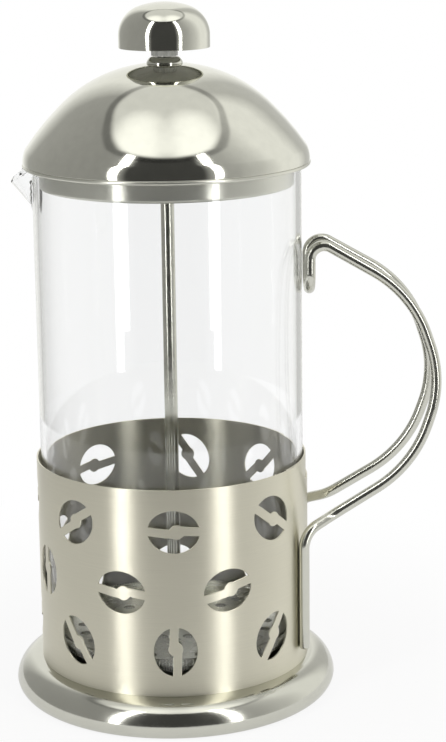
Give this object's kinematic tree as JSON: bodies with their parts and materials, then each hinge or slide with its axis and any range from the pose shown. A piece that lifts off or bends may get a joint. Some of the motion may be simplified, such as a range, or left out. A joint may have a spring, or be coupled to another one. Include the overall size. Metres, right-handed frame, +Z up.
{
  "type": "french press",
  "caption": "Glass beaker in a punched steel frame with a bent wire handle, domed metal lid and a sliding plunger with strainer.",
  "frame": {"origin": "on the floor under the middle of the round foot", "axes": "+Z up along the rod, +X through the handle, -X through the pouring spout"},
  "size_m": [0.162, 0.1224, 0.2606],
  "materials": {
    "polished_steel": "mirror polished stainless steel",
    "brushed_steel": "fine horizontal brushing",
    "polished_wire": "bright drawn stainless wire",
    "strainer_steel": "satin pressed steel",
    "woven_steel": "fine woven wire cloth",
    "plated_steel": "bright plated",
    "glass": "clear heat-proof glass",
    "milky_polymer": "translucent natural polypropylene"
  },
  "bodies": {
    "frame": {"base_foot": "polished_steel", "base_floor": "brushed_steel", "sleeve": "brushed_steel", "handle_wire": "polished_wire"},
    "beaker": {"beaker": "glass"},
    "lid": {"lid_dome": "polished_steel", "lid_insert": "brushed_steel", "lid_bush": "plated_steel", "bush_nut": "plated_steel"},
    "plunger": {"plunger_rod": "polished_wire", "knob_core": "milky_polymer", "knob_nut": "plated_steel", "knob_cap": "polished_steel", "hub_nut": "plated_steel", "hub_washer": "plated_steel", "cross_plate": "strainer_steel", "filter_mesh": "woven_steel", "edge_coil": "strainer_steel", "spreader_plate": "strainer_steel", "hub_collar": "plated_steel"}
  },
  "joints": [
    {"name": "beaker_lift", "type": "slide", "parent": "frame", "child": "beaker", "axis": [0, 0, 1], "range_m": [0, 0.085]},
    {"name": "lid_lift", "type": "slide", "parent": "beaker", "child": "lid", "axis": [0, 0, 1], "range_m": [0, 0.19]},
    {"name": "plunger_press", "type": "slide", "parent": "lid", "child": "plunger", "axis": [0, 0, 1], "range_m": [0, 0.167]}
  ]
}
